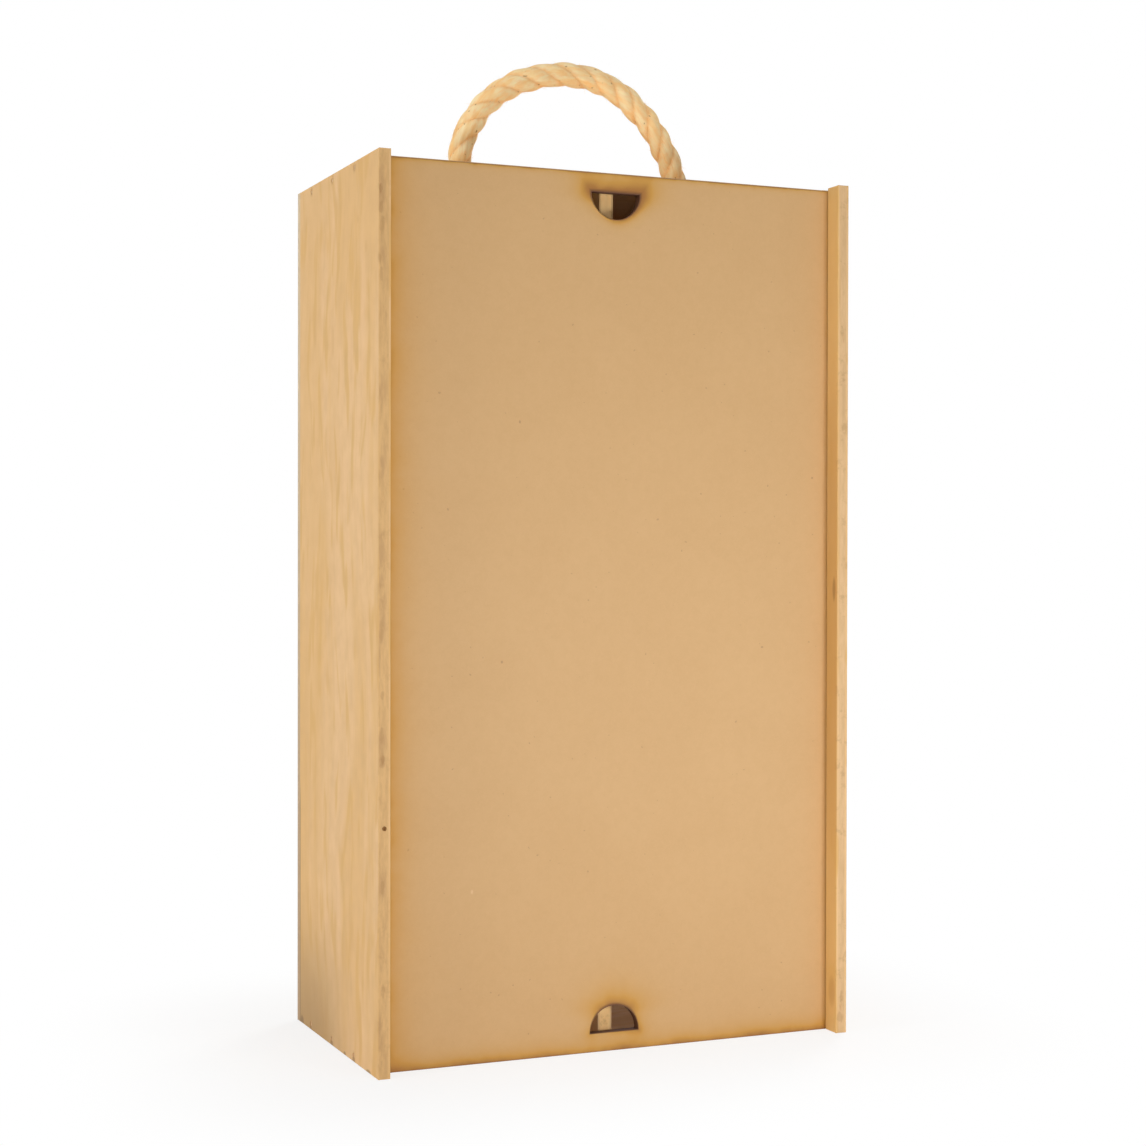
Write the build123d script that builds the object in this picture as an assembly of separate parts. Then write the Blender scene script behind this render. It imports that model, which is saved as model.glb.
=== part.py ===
from build123d import *
import math
import os

# Upright plywood box for two bottles: a front lid slides up in grooves of the two sides,
# and a rope handle comes up through two holes in the top and is knotted underneath.
# Millimetres, +Z up. The origin is the middle of the base, and the lid faces -Y.
# Each hand below is -1 for the left and +1 for the right, seen from the front.

os.makedirs("parts", exist_ok=True)

# Case
case_width = 203.0
case_depth = 111.0
case_height = 350.0
side_thickness = 5.0
top_thickness = 5.0
bottom_thickness = 5.0
back_thickness = 4.0
edge_ease = 0.4

# Sliding lid and its grooves
lid_thickness = 4.0
lid_setback = 8.9
lid_drop = 1.2
groove_play = 0.3
groove_depth = 2.5
lid_side_play = 0.4
lid_clearance = 0.6

# Half-round finger holes, one near each end of the lid
finger_radius = 10.5
finger_margin = 7.5

# Centre divider
divider_thickness = 6.0
divider_setback = 5.4

# Rope handle
rope_diameter = 10.0
rope_pitch = 99.0
rope_hole_clearance = 0.5
rope_rise = 6.0
knot_clearance = 0.3
knot_diameter = 32.0
knot_height = 24.0
knot_shoulder = 6.5
rope_tail = 9.0
bend_start = 1.5
bend_length = 12.0

# Brads, punched just under the face that they are driven through
brad_diameter = 1.2
brad_head_diameter = 2.0
brad_head_thickness = 0.5
brad_length = 16.0
brad_sink = 0.2
brad_clearance = 0.02
side_brad_count = 3
side_brad_margin = 17.0
back_brad_count = 5
back_brad_margin = 28.0
cross_brad_count = 4
cross_brad_margin = 32.0
divider_brad_count = 2
divider_brad_margin = 20.0

# Planes that several pieces share
inner_half = case_width / 2 - side_thickness
front = -case_depth / 2
rear = case_depth / 2
back_face = rear - back_thickness
lid_front = front + lid_setback
lid_back = lid_front + lid_thickness
panel_front = lid_back + lid_clearance
lid_top = case_height - lid_drop
floor_top = bottom_thickness
ceiling = case_height - top_thickness


def block(x, y, z):
    """A box between the low and high value of each pair."""
    size = [high - low for low, high in (x, y, z)]
    middle = [(low + high) / 2 for low, high in (x, y, z)]
    return Pos(*middle) * Box(*size)


def spread(low, high, count):
    """Evenly spaced values from low to high, both included."""
    step = (high - low) / (count - 1)
    return [low + step * i for i in range(count)]


def save(name, *solids):
    """One node: its solid, or its group of separate solids."""
    shape = solids[0] if len(solids) == 1 else Compound(children=list(solids))
    export_step(shape, f"parts/{name}.step")


# Brads

def stepped_rod(point, drive, head, shank):
    """A head and a shank on one line. Each is (radius, start, end), measured from the point."""
    solid = None
    for radius, start, end in (head, shank):
        rod = Cylinder(radius, end - start, align=(Align.CENTER, Align.CENTER, Align.MIN))
        rod = Pos(0, 0, start) * rod
        solid = rod if solid is None else solid + rod
    return Plane(origin=point, z_dir=drive) * solid


def brad(point, drive):
    """A brad driven through the face at a point, in the direction given."""
    neck = brad_sink + brad_head_thickness
    head = (brad_head_diameter / 2, brad_sink, neck)
    shank = (brad_diameter / 2, neck, brad_sink + brad_length)
    return stepped_rod(point, drive, head, shank)


def brad_hole(point, drive):
    """The hole that a brad leaves, open to the face above its head."""
    neck = brad_sink + brad_head_thickness
    head = (brad_head_diameter / 2 + brad_clearance, -brad_sink, neck)
    shank = (brad_diameter / 2 + brad_clearance, neck, brad_sink + brad_length)
    return stepped_rod(point, drive, head, shank)


def side_brads(hand):
    """Points and direction of the brads through a side into the top and bottom panels."""
    heights = (bottom_thickness / 2, case_height - top_thickness / 2)
    depths = spread(panel_front + side_brad_margin, back_face - side_brad_margin, side_brad_count)
    points = [(hand * case_width / 2, y, z) for z in heights for y in depths]
    return points, (-hand, 0, 0)


def back_brads():
    """Through the back into both sides, the top, the bottom and the divider."""
    side_x = case_width / 2 - side_thickness / 2
    heights = spread(back_brad_margin, case_height - back_brad_margin, back_brad_count)
    points = [(x, rear, z) for x in (-side_x, side_x) for z in heights]
    reach = case_width / 2 - cross_brad_margin
    crossings = spread(-reach, reach, cross_brad_count)
    for z in (bottom_thickness / 2, case_height - top_thickness / 2):
        points += [(x, rear, z) for x in crossings]
    points += [(0, rear, z) for z in heights[1:-1]]
    return points, (0, -1, 0)


def divider_brads(z, drive):
    """Through the top or the bottom into the end of the divider."""
    low = lid_back + divider_setback + divider_brad_margin
    depths = spread(low, back_face - divider_brad_margin, divider_brad_count)
    return [(0, y, z) for y in depths], (0, 0, drive)


brad_groups = {
    "left_side_brads": [side_brads(-1)],
    "right_side_brads": [side_brads(1)],
    "back_brads": [back_brads()],
    "divider_brads": [divider_brads(case_height, -1), divider_brads(0, 1)],
}


def each_brad(group, make):
    """What make gives for every brad of a group: the brads themselves, or their holes."""
    return [make(point, drive) for points, drive in brad_groups[group] for point in points]


def drilled(solid, *groups):
    """The solid with the holes of the brads that pass through it or end in it."""
    for group in groups:
        for hole in each_brad(group, brad_hole):
            solid -= hole
    return solid


# Case panels

def side_panel(hand):
    """A side with the lid's groove along its inner face, open at the top and the bottom."""
    outer = hand * case_width / 2
    inner = hand * inner_half
    panel = block(sorted((outer, inner)), (front, back_face), (0, case_height))
    front_edges = panel.faces().sort_by(Axis.Y)[0].edges().filter_by(Axis.Z)
    outer_edges = panel.faces().sort_by(Axis.X)[0 if hand < 0 else -1].edges().filter_by(Axis.Y)
    panel = fillet(front_edges + outer_edges, edge_ease)
    deep = hand * (inner_half + groove_depth)
    groove = block(
        sorted((inner - hand * edge_ease, deep)),
        (lid_front - groove_play, lid_back + groove_play),
        (-edge_ease, case_height + edge_ease),
    )
    name = "left_side_brads" if hand < 0 else "right_side_brads"
    return drilled(panel - groove, name, "back_brads")


def end_panel(z):
    """The top or bottom panel, between the sides and behind the lid."""
    return block((-inner_half, inner_half), (panel_front, back_face), z)


def top_panel():
    panel = end_panel((ceiling, case_height))
    for hand in (-1, 1):
        hole = Cylinder(rope_diameter / 2 + rope_hole_clearance, 3 * top_thickness)
        panel -= Pos(hand * rope_pitch / 2, 0, case_height) * hole
    return drilled(panel, *brad_groups)


def bottom_panel():
    return drilled(end_panel((0, bottom_thickness)), *brad_groups)


def back_panel():
    """Laid over the rear edges of the sides, the top and the bottom."""
    panel = block((-case_width / 2, case_width / 2), (back_face, rear), (0, case_height))
    panel = fillet(panel.faces().sort_by(Axis.Y)[-1].edges(), edge_ease)
    return drilled(panel, "back_brads")


def centre_divider():
    half = divider_thickness / 2
    board = block((-half, half), (lid_back + divider_setback, back_face), (floor_top, ceiling))
    return drilled(board, "back_brads", "divider_brads")


# Lid

def finger_hole(flat_z, upward):
    """Half a disc whose flat side is at flat_z: its round side is above it if upward is 1, below if -1."""
    disc = Rot(90, 0, 0) * Cylinder(finger_radius, 3 * lid_thickness)
    disc = Pos(0, lid_front, flat_z) * disc
    reach = flat_z + upward * 2 * finger_radius
    half = block(
        (-2 * finger_radius, 2 * finger_radius),
        (lid_front - 2 * lid_thickness, lid_back + 2 * lid_thickness),
        sorted((flat_z, reach)),
    )
    return disc & half


def sliding_lid():
    half = inner_half + groove_depth - lid_side_play
    board = block((-half, half), (lid_front, lid_back), (0, lid_top))
    board -= finger_hole(lid_top - finger_margin, -1)
    board -= finger_hole(finger_margin, 1)
    return board


# Rope handle

knot_top = ceiling - rope_rise - knot_clearance
bend_low = case_height + bend_start
bend_high = bend_low + bend_length

# The handle's route in the XZ plane, from one knot over the arch to the other. The arch leans
# a little to the left, where its leg comes straight up, and runs down flatter on the right.
rope_route = [
    (-rope_pitch / 2, knot_top),
    (-rope_pitch / 2, case_height + 11.0),
    (-45.5, case_height + 22.8),
    (-36.8, case_height + 34.4),
    (-23.9, case_height + 43.1),
    (-9.0, case_height + 47.4),
    (6.5, case_height + 48.2),
    (20.7, case_height + 43.7),
    (32.6, case_height + 34.6),
    (42.1, case_height + 23.0),
    (rope_pitch / 2, case_height + 7.5),
    (rope_pitch / 2, knot_top),
]


def corner_radii(points):
    """For each corner, 0.45 of its shorter run over the tangent of half its turn."""
    runs = [b - a for a, b in zip(points, points[1:])]
    radii = []
    for before, after in zip(runs, runs[1:]):
        half_turn = math.radians(before.get_angle(after)) / 2
        radii.append(0.45 * min(before.length, after.length) / math.tan(half_turn))
    return radii


def rope_tube():
    points = [Vector(x, 0, z) for x, z in rope_route]
    radii = corner_radii(points)
    path = FilletPolyline(*points, radius=radii)
    section = Plane(origin=points[0], z_dir=(0, 0, 1)) * Circle(rope_diameter / 2)
    tube = sweep(section, path=path)
    print("rope radii", [round(r, 1) for r in radii])
    print("rope length", round(path.length, 1))
    print("rope volume over section times length", tube.volume / (section.area * path.length))
    return tube


def rope_between(tube, low, high):
    """The two stretches, or the one arch, of the tube between two heights."""
    slab = block((-case_width, case_width), (-case_depth, case_depth), (low, high))
    return (tube & slab).solids()


def knot(hand):
    """An overhand knot as a round lump with a flat seat under the top panel, and the rope's cut tail."""
    x = hand * rope_pitch / 2
    hanging = (Align.CENTER, Align.CENTER, Align.MAX)
    lump = Pos(x, 0, knot_top) * Cylinder(knot_diameter / 2, knot_height, align=hanging)
    lump = fillet(lump.edges().filter_by(GeomType.CIRCLE), knot_diameter / 2 - knot_shoulder)
    tail = Cylinder(rope_diameter / 2, rope_tail, align=hanging)
    return lump + Pos(x, 0, knot_top - knot_height) * tail


save("left_side", side_panel(-1))
save("right_side", side_panel(1))
save("top_panel", top_panel())
save("bottom_panel", bottom_panel())
save("back_panel", back_panel())
save("centre_divider", centre_divider())
save("sliding_lid", sliding_lid())

rope = rope_tube()
save("rope_arch", *rope_between(rope, bend_high, 2 * case_height))
save("rope_bends", *rope_between(rope, bend_low, bend_high))
save("rope_ends", *rope_between(rope, 0, bend_low))
save("left_knot", knot(-1))
save("right_knot", knot(1))

for group in brad_groups:
    save(group, *each_brad(group, brad))
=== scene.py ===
import math
import bpy
import bmesh
import numpy as np
from mathutils import Matrix, Vector


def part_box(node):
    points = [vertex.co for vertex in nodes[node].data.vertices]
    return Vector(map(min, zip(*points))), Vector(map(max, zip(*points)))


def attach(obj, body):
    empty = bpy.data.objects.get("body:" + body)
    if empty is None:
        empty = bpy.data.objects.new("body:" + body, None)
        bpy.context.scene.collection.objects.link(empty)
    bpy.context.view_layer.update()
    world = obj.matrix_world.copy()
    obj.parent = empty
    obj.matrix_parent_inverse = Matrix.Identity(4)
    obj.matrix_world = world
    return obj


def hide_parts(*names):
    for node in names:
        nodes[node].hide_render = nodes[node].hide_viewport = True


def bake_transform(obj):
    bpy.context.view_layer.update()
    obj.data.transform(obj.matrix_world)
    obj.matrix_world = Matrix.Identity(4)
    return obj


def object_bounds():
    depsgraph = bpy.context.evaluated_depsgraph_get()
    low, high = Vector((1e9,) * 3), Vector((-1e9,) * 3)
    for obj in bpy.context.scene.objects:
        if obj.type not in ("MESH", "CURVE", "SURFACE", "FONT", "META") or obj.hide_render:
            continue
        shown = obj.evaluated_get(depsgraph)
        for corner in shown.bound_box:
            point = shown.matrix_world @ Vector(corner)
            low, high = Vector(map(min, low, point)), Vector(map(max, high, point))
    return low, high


# Bottle box in light plywood: a laser cut lid slides in the sides, a laid rope is the handle.
# Metres, +Z up, the lid faces -Y. Every piece is built where the frame holds its node.

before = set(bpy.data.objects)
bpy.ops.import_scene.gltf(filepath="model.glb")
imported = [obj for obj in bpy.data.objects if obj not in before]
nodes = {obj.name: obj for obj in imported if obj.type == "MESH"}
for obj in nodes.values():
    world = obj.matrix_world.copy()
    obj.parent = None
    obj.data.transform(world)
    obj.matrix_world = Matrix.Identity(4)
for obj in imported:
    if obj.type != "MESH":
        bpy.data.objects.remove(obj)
cadLow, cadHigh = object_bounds()
print("frame loaded,", len(nodes), "nodes")


# A new object in the scene that holds the data
def placed(name, data):
    thing = bpy.data.objects.new(name, data)
    bpy.context.scene.collection.objects.link(thing)
    return thing


# Camera

cameraView = dict(
    place=(-0.34224, -0.80178, 0.19815),
    yaw=23.22,  # degrees, turned to the right of +Y
    pitch=-0.54,
    roll=0.10,
    focalPixels=2082.56,
    imagePixels=1146,
    sensor=36.0,  # millimetres
)


def makeCamera(view):
    yaw, pitch, roll = (math.radians(view[key]) for key in ("yaw", "pitch", "roll"))
    ahead = Vector((math.sin(yaw) * math.cos(pitch), math.cos(yaw) * math.cos(pitch), math.sin(pitch)))
    level = Vector((math.cos(yaw), -math.sin(yaw), 0))
    upright = level.cross(ahead)
    right = level * math.cos(roll) + upright * math.sin(roll)
    up = upright * math.cos(roll) - level * math.sin(roll)
    data = bpy.data.cameras.new("camera")
    data.sensor_width = view["sensor"]
    data.lens = view["focalPixels"] / view["imagePixels"] * view["sensor"]
    camera = placed("camera", data)
    turned = Matrix((right, up, -ahead)).transposed().to_4x4()
    camera.matrix_world = Matrix.Translation(view["place"]) @ turned
    bpy.context.scene.camera = camera


makeCamera(cameraView)


# Small tools for meshes

# An object at the origin with its place in its mesh
def newPiece(name, vertices, faces, smooth=False):
    mesh = bpy.data.meshes.new(name)
    mesh.from_pydata(np.asarray(vertices, float).reshape(-1, 3).tolist(), [], faces)
    mesh.polygons.foreach_set("use_smooth", [smooth] * len(mesh.polygons))
    mesh.update()
    return placed(name, mesh)


# Quads between rows of points: row r, column c is point start + r * columns + c
def gridFaces(rows, columns, loop=True, start=0):
    r, c = np.meshgrid(np.arange(rows - 1), np.arange(columns if loop else columns - 1), indexing="ij")
    nextC = (c + 1) % columns
    quads = [r * columns + c, r * columns + nextC, (r + 1) * columns + nextC, (r + 1) * columns + c]
    return (np.stack(quads, -1).reshape(-1, 4) + start).tolist()


def unit(v):
    return v / np.linalg.norm(v, axis=-1, keepdims=True)


def smoothStep(t):
    t = np.clip(t, 0, 1)
    return t * t * (3 - 2 * t)


# A smooth curve from -1 to 1: a sum of sines of seeded pitch and phase
def softNoise(positions, seed, waves=6):
    random = np.random.default_rng(seed)
    pitch = random.uniform(0.6, 2.2, waves)
    phase = random.uniform(0, 2 * math.pi, waves)
    return np.sin(np.asarray(positions)[..., None] * pitch + phase).sum(-1) / waves ** 0.5


# Rope

rope = dict(
    diameter=0.010,
    lay=0.030,  # one full turn of the three strands
    strandCentre=0.00135,  # a strand's centre from the rope's
    strandRadius=0.00367,
    strandSides=44,
    ringStep=0.0005,
    yarns=9,  # round each strand
    yarnTurn=0.0225,  # a yarn's full turn about its strand, against the lay
    yarnDepth=0.00028,
    lumps=0.055,  # a strand's uneven thickness, as a share
    lumpLength=0.004,
    lyingFibres=2250,
    strayFibres=430,
    strayLength=(0.0020, 0.0060),
    strayRadius=0.00006,
    lyingLift=(0.02, 0.16),  # how far a fibre's end stands off, as a share of its length
    strayLift=(0.2, 0.6),
    fibreLean=0.45,
    fibreRoot=0.0044,  # from the rope's middle
    fibreRings=6,
    # how far the painted shade in the creases between strands reaches
    creaseShadeReach=0.55,  # radians of a strand's own angle
    seed=41,
)

# The handle's route in the XZ plane at y = 0, from one knot over the arch to the other
ropeRoute = [
    (-0.0495, 0, 0.3387),
    (-0.0495, 0, 0.3610),
    (-0.0455, 0, 0.3728),
    (-0.0368, 0, 0.3844),
    (-0.0239, 0, 0.3931),
    (-0.0090, 0, 0.3974),
    (0.0065, 0, 0.3982),
    (0.0207, 0, 0.3937),
    (0.0326, 0, 0.3846),
    (0.0421, 0, 0.3730),
    (0.0495, 0, 0.3575),
    (0.0495, 0, 0.3387),
]


# Points along the NURBS spline whose control points are the route's
def routePoints(route):
    curve = bpy.data.curves.new("route", "CURVE")
    curve.dimensions = "3D"
    curve.resolution_u = 40
    spline = curve.splines.new("NURBS")
    spline.points.add(len(route) - 1)
    for point, place in zip(spline.points, route):
        point.co = (*place, 1)
    spline.order_u = 3
    spline.use_endpoint_u = True
    holder = placed("route", curve)
    mesh = bpy.data.meshes.new_from_object(holder)
    points = np.array([v.co for v in mesh.vertices])
    bpy.data.objects.remove(holder)
    bpy.data.meshes.remove(mesh)
    return points


# The same path with its points evenly spaced, and each point's distance along it
def evenPoints(points, step):
    along = np.r_[0, np.cumsum(np.linalg.norm(np.diff(points, axis=0), axis=1))]
    wanted = np.linspace(0, along[-1], int(round(along[-1] / step)) + 1)
    return np.stack([np.interp(wanted, along, values) for values in points.T], 1), wanted


# Tangents, and normals carried along the path with no twist of their own
def carriedFrames(points, firstNormal):
    tangents = unit(np.gradient(points, axis=0))
    normals = np.empty_like(points)
    normal = np.array(firstNormal, float)
    for i, tangent in enumerate(tangents):
        normal = normal - tangent * (normal @ tangent)
        normal /= np.linalg.norm(normal)
        normals[i] = normal
    return tangents, normals, np.cross(tangents, normals)


# Three strands laid round a path, as one closed surface.
# Each ring joins three arcs. A point of strand k is its centre, at strandCentre and angle
# turn + k * 120 degrees, plus the strand's radius at its own angle a. The arc ends where two
# strands meet, and the radius has one small ridge for each yarn.
def laidSurface(points, along, firstNormal, firstTurn, swell):
    centre, radius = rope["strandCentre"], rope["strandRadius"]
    reach = math.pi / 3 + math.asin(math.sqrt(3) * centre / (2 * radius))
    sides = rope["strandSides"]
    a = (np.arange(sides) + 0.5) / sides * 2 * reach - reach
    turn = firstTurn + along * 2 * math.pi / rope["lay"]
    k = np.arange(3)
    yarn = rope["yarns"] * (a[None, :] / (2 * math.pi) + along[:, None] / rope["yarnTurn"])
    ridge = np.abs(np.cos(math.pi * yarn)) ** 0.6 - 0.75
    lump = np.stack([softNoise(along / rope["lumpLength"], rope["seed"] + i) for i in range(3)], 1)
    grown = radius * (1 + rope["lumps"] * lump)[:, :, None] + rope["yarnDepth"] * ridge[:, None, :]
    grown = grown * swell[:, None, None]
    out = centre * swell[:, None, None] + grown * np.cos(a)
    side = grown * np.sin(a)
    angle = (turn[:, None] + k * 2 * math.pi / 3)[:, :, None]
    x = out * np.cos(angle) - side * np.sin(angle)
    y = out * np.sin(angle) + side * np.cos(angle)
    tangents, normals, across = carriedFrames(points, firstNormal)
    surface = points[:, None, None] + x[..., None] * normals[:, None, None]
    surface = surface + y[..., None] * across[:, None, None]
    rings = surface.reshape(len(points), 3 * sides, 3)
    # Painted shade: 1 in the crease where two strands meet, fading out across each strand
    creaseShade = 1 - smoothStep((reach - np.abs(a)) / rope["creaseShadeReach"])
    uv = np.empty((len(points), 3, sides, 2))
    uv[..., 0] = along[:, None, None]
    uv[..., 1] = yarn[:, None, :] + 40 * k[:, None]
    shade = np.broadcast_to(np.tile(creaseShade, 3), rings.shape[:2])
    return rings, uv.reshape(len(points), 3 * sides, 2), shade, (tangents, normals, across, turn)


# Loose fibres as tapered three sided hairs: each leaves the surface along a yarn and curls out
# with a power of its length, most of them close to the rope and some well away from it.
def strayFibres(points, along, frames, random):
    tangents, normals, across, _ = frames
    share = along[-1] / 0.17
    lying, loose = int(rope["lyingFibres"] * share), int(rope["strayFibres"] * share)
    count = lying + loose
    ring = random.integers(4, len(points) - 5, count)
    angle = random.uniform(0, 2 * math.pi, count)
    outward = np.cos(angle)[:, None] * normals[ring] + np.sin(angle)[:, None] * across[ring]
    sideways = unit(np.cross(tangents[ring], outward))
    lean = random.normal(0, rope["fibreLean"], count)[:, None]
    forward = unit(tangents[ring] * np.where(random.random(count) < 0.5, -1, 1)[:, None] + lean * sideways)
    length = random.uniform(*rope["strayLength"], count)[:, None, None]
    t = np.linspace(0, 1, rope["fibreRings"])[None, :, None]
    lift = np.r_[random.uniform(*rope["lyingLift"], lying), random.uniform(*rope["strayLift"], loose)]
    lift = lift[:, None, None]
    spine = points[ring][:, None] + outward[:, None] * (rope["fibreRoot"] + length * lift * t ** 1.7)
    spine = spine + forward[:, None] * length * t * (1 - 0.35 * t)
    spin = np.arange(3) * 2 * math.pi / 3
    width = rope["strayRadius"] * (1 - 0.85 * t[..., None])
    around = np.cos(spin)[:, None] * sideways[:, None, None] + np.sin(spin)[:, None] * outward[:, None, None]
    hairs = spine[:, :, None] + width * around
    each = 3 * rope["fibreRings"]
    base = gridFaces(rope["fibreRings"], 3)
    faces = [[v + each * i for v in quad] for i in range(count) for quad in base]
    caps = ((2, 1, 0), (each - 3, each - 2, each - 1))
    faces += [[each * i + c for c in order] for i in range(count) for order in caps]
    return hairs.reshape(-1, 3), faces


# A stretch of laid rope with closed ends and its loose fibres, in one mesh
def laidRope(name, points, firstNormal, firstTurn, swell=None, dome=(0, 0), seed=1, ceiling=None):
    points, along = evenPoints(points, rope["ringStep"])
    swellHere = np.ones(len(points)) if swell is None else swell(along / along[-1])
    rings, uv, creaseShade, frames = laidSurface(points, along, firstNormal, firstTurn, swellHere)
    rows, columns = rings.shape[:2]
    ends = np.array([points[0] - frames[0][0] * dome[0], points[-1] + frames[0][-1] * dome[1]])
    hairs, hairFaces = strayFibres(points, along, frames, np.random.default_rng(seed))
    if ceiling is not None:
        hairs[:, 2] = np.minimum(hairs[:, 2], ceiling)  # fibres lie flat under what the knot meets
    vertices = np.concatenate([rings.reshape(-1, 3), ends, hairs])
    faces = gridFaces(rows, columns)
    low, high = rows * columns, rows * columns + 1
    last = (rows - 1) * columns
    faces += [[low, (c + 1) % columns, c] for c in range(columns)]
    faces += [[high, last + c, last + (c + 1) % columns] for c in range(columns)]
    faces += [[v + high + 1 for v in face] for face in hairFaces]
    piece = newPiece(name, vertices, faces, smooth=True)
    pointUv = np.zeros((len(vertices), 2))
    pointUv[:low] = uv.reshape(-1, 2)
    pointUv[high + 1:, 0] = hairs[:, 0]
    each = 3 * rope["fibreRings"]
    pointUv[high + 1:, 1] = np.repeat(np.arange(len(hairs) // each), each) * 3.7  # a yarn number of its own
    shade = np.zeros(len(vertices))
    shade[:low] = np.asarray(creaseShade).reshape(-1)
    corner = np.empty(len(piece.data.loops), int)
    piece.data.loops.foreach_get("vertex_index", corner)
    layer = piece.data.uv_layers.new(name="yarnMap")
    layer.data.foreach_set("uv", pointUv[corner].ravel())
    # the painted crease shade, carried to the material
    creaseShadeLayer = piece.data.attributes.new("creaseShade", "FLOAT", "POINT")
    creaseShadeLayer.data.foreach_set("value", shade)
    return piece, frames[3][-1], frames[1][-1]


ropePath = routePoints(ropeRoute)
ropePiece, ropeTurn, ropeNormal = laidRope("rope_handle", ropePath, (1, 0, 0), 0.0, seed=7)
print("rope made,", len(ropePiece.data.vertices), "points")


# Overhand knots

knot = dict(
    middle=0.0093,  # radius of the ring that the rope winds about
    wind=0.0045,
    rise=0.0071,
    uneven=0.5,
    squeeze=0.00035,
    gather=0.013,  # height in which the two ends come onto the axis
    tail=0.0205,
    drop=0.0118,  # from the knot's top to its middle
    tight=0.86,  # the rope's thickness where it is pulled tight
    tightFrom=0.16,  # shares of the knot's length
    tightTo=0.86,
    dome=0.0008,  # how far the cut end bulges
)


# An overhand knot hung on a vertical rope, after a torus knot.
# With t the winding: radius = middle - wind sin(pi t) + squeeze cos(2 pi t), height = rise cos(pi t)
# and angle = 1.5 pi t + uneven cos(pi t). Past the first and the last inner pass, the ends run
# straight up and down and come in onto the axis.
def overhandPath(legX, top, spin):
    v = knot
    t = np.linspace(0.5 - v["drop"] / (v["rise"] * math.pi), 2.5 + v["tail"] / (v["rise"] * math.pi), 900)
    angle = 1.5 * math.pi * t + v["uneven"] * np.cos(math.pi * t)
    radius = v["middle"] - v["wind"] * np.sin(math.pi * t) + v["squeeze"] * np.cos(2 * math.pi * t)
    height = v["rise"] * np.cos(math.pi * t)
    inner = v["middle"] - v["wind"] - v["squeeze"]
    slope = (1.5 - v["uneven"]) * math.pi
    for past, edge, sign in ((t < 0.5, 0.5, 1), (t > 2.5, 2.5, -1)):
        reach = v["rise"] * math.pi * np.abs(t[past] - edge)
        height[past] = sign * reach
        angle[past] = 1.5 * math.pi * edge + slope * (t[past] - edge)
        gather = v["gather"] if sign > 0 else 3 * v["gather"]
        radius[past] = inner * (1 - smoothStep(reach / gather))
    x = radius * np.cos(angle + spin)
    y = radius * np.sin(angle + spin)
    return np.stack([x + legX, y, height + top - v["drop"]], 1)


# Full thickness at both ends, squeezed in between
def knotSwell(share):
    full = 1 - knot["tight"]
    loosened = smoothStep((share - knot["tightTo"]) / (1 - knot["tightTo"]))
    return knot["tight"] + full * (1 - smoothStep(share / knot["tightFrom"])) + full * loosened


def makeKnot(node, spin, firstNormal, firstTurn, seed):
    low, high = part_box(node)
    path = overhandPath((low.x + high.x) / 2, high.z, spin)
    dome = (0, knot["dome"])
    piece, _, _ = laidRope(node + "_tied", path, firstNormal, firstTurn, knotSwell, dome, seed, high.z)
    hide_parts(node)
    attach(piece, "rope_legs")
    return piece


leftKnot = makeKnot("left_knot", 0.4, (1, 0, 0), 0.0, 11)
rightKnot = makeKnot("right_knot", 2.3, ropeNormal, ropeTurn, 12)

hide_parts("rope_arch", "rope_bends", "rope_ends")
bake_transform(ropePiece)


# Boards

board = dict(
    ease=0.00025,  # sanded edges
    easeSteps=2,
    merge=0.000002,
    sharpAngle=math.radians(40),
    shortEdge=0.0012,  # nail holes have shorter edges and stay crisp
    gapWave=0.18,
)


# The node's own shape with its long sharp edges eased, and any gaps cut from it
def easedBoard(node, name, cutters=None):
    mesh = nodes[node].data.copy()
    mesh.materials.clear()
    storedNormals = mesh.attributes.get("custom_normal")
    if storedNormals:
        mesh.attributes.remove(storedNormals)
    mesh.shade_flat()
    work = bmesh.new()
    work.from_mesh(mesh)
    bmesh.ops.remove_doubles(work, verts=work.verts, dist=board["merge"])
    weight = work.edges.layers.float.new("bevel_weight_edge")
    for edge in work.edges:
        sharp = len(edge.link_faces) == 2 and edge.calc_face_angle(0) > board["sharpAngle"]
        edge[weight] = 1.0 if sharp and edge.calc_length() > board["shortEdge"] else 0.0
    work.to_mesh(mesh)
    work.free()
    piece = placed(name, mesh)
    bevel = piece.modifiers.new("ease", "BEVEL")
    bevel.limit_method = "WEIGHT"
    bevel.width = board["ease"]
    bevel.segments = board["easeSteps"]
    bevel.use_clamp_overlap = False
    if cutters is not None:
        cut = piece.modifiers.new("gaps", "BOOLEAN")
        cut.operation = "DIFFERENCE"
        cut.solver = "EXACT"
        cut.object = cutters
    bpy.context.view_layer.update()
    final = bpy.data.meshes.new_from_object(piece.evaluated_get(bpy.context.evaluated_depsgraph_get()))
    piece.modifiers.clear()
    piece.data = final
    piece.data.name = name
    if cutters is not None:
        bpy.data.objects.remove(cutters)
    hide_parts(node)
    return piece


# Gaps in the core ply, seen along the sides' front edges: height, length, width, depth and x
leftGaps = [
    (0.3349, 0.0036, 0.0012, 0.0003, -0.1006),
    (0.2192, 0.0050, 0.0012, 0.0002, -0.0998),
    (0.1204, 0.0040, 0.0014, 0.0003, -0.0998),
    (0.0945, 0.0019, 0.0019, 0.0011, -0.0990),
]
rightGaps = [
    (0.2870, 0.0040, 0.0008, 0.0002, 0.0990),
    (0.0107, 0.0036, 0.0010, 0.0003, 0.0986),
]


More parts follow.
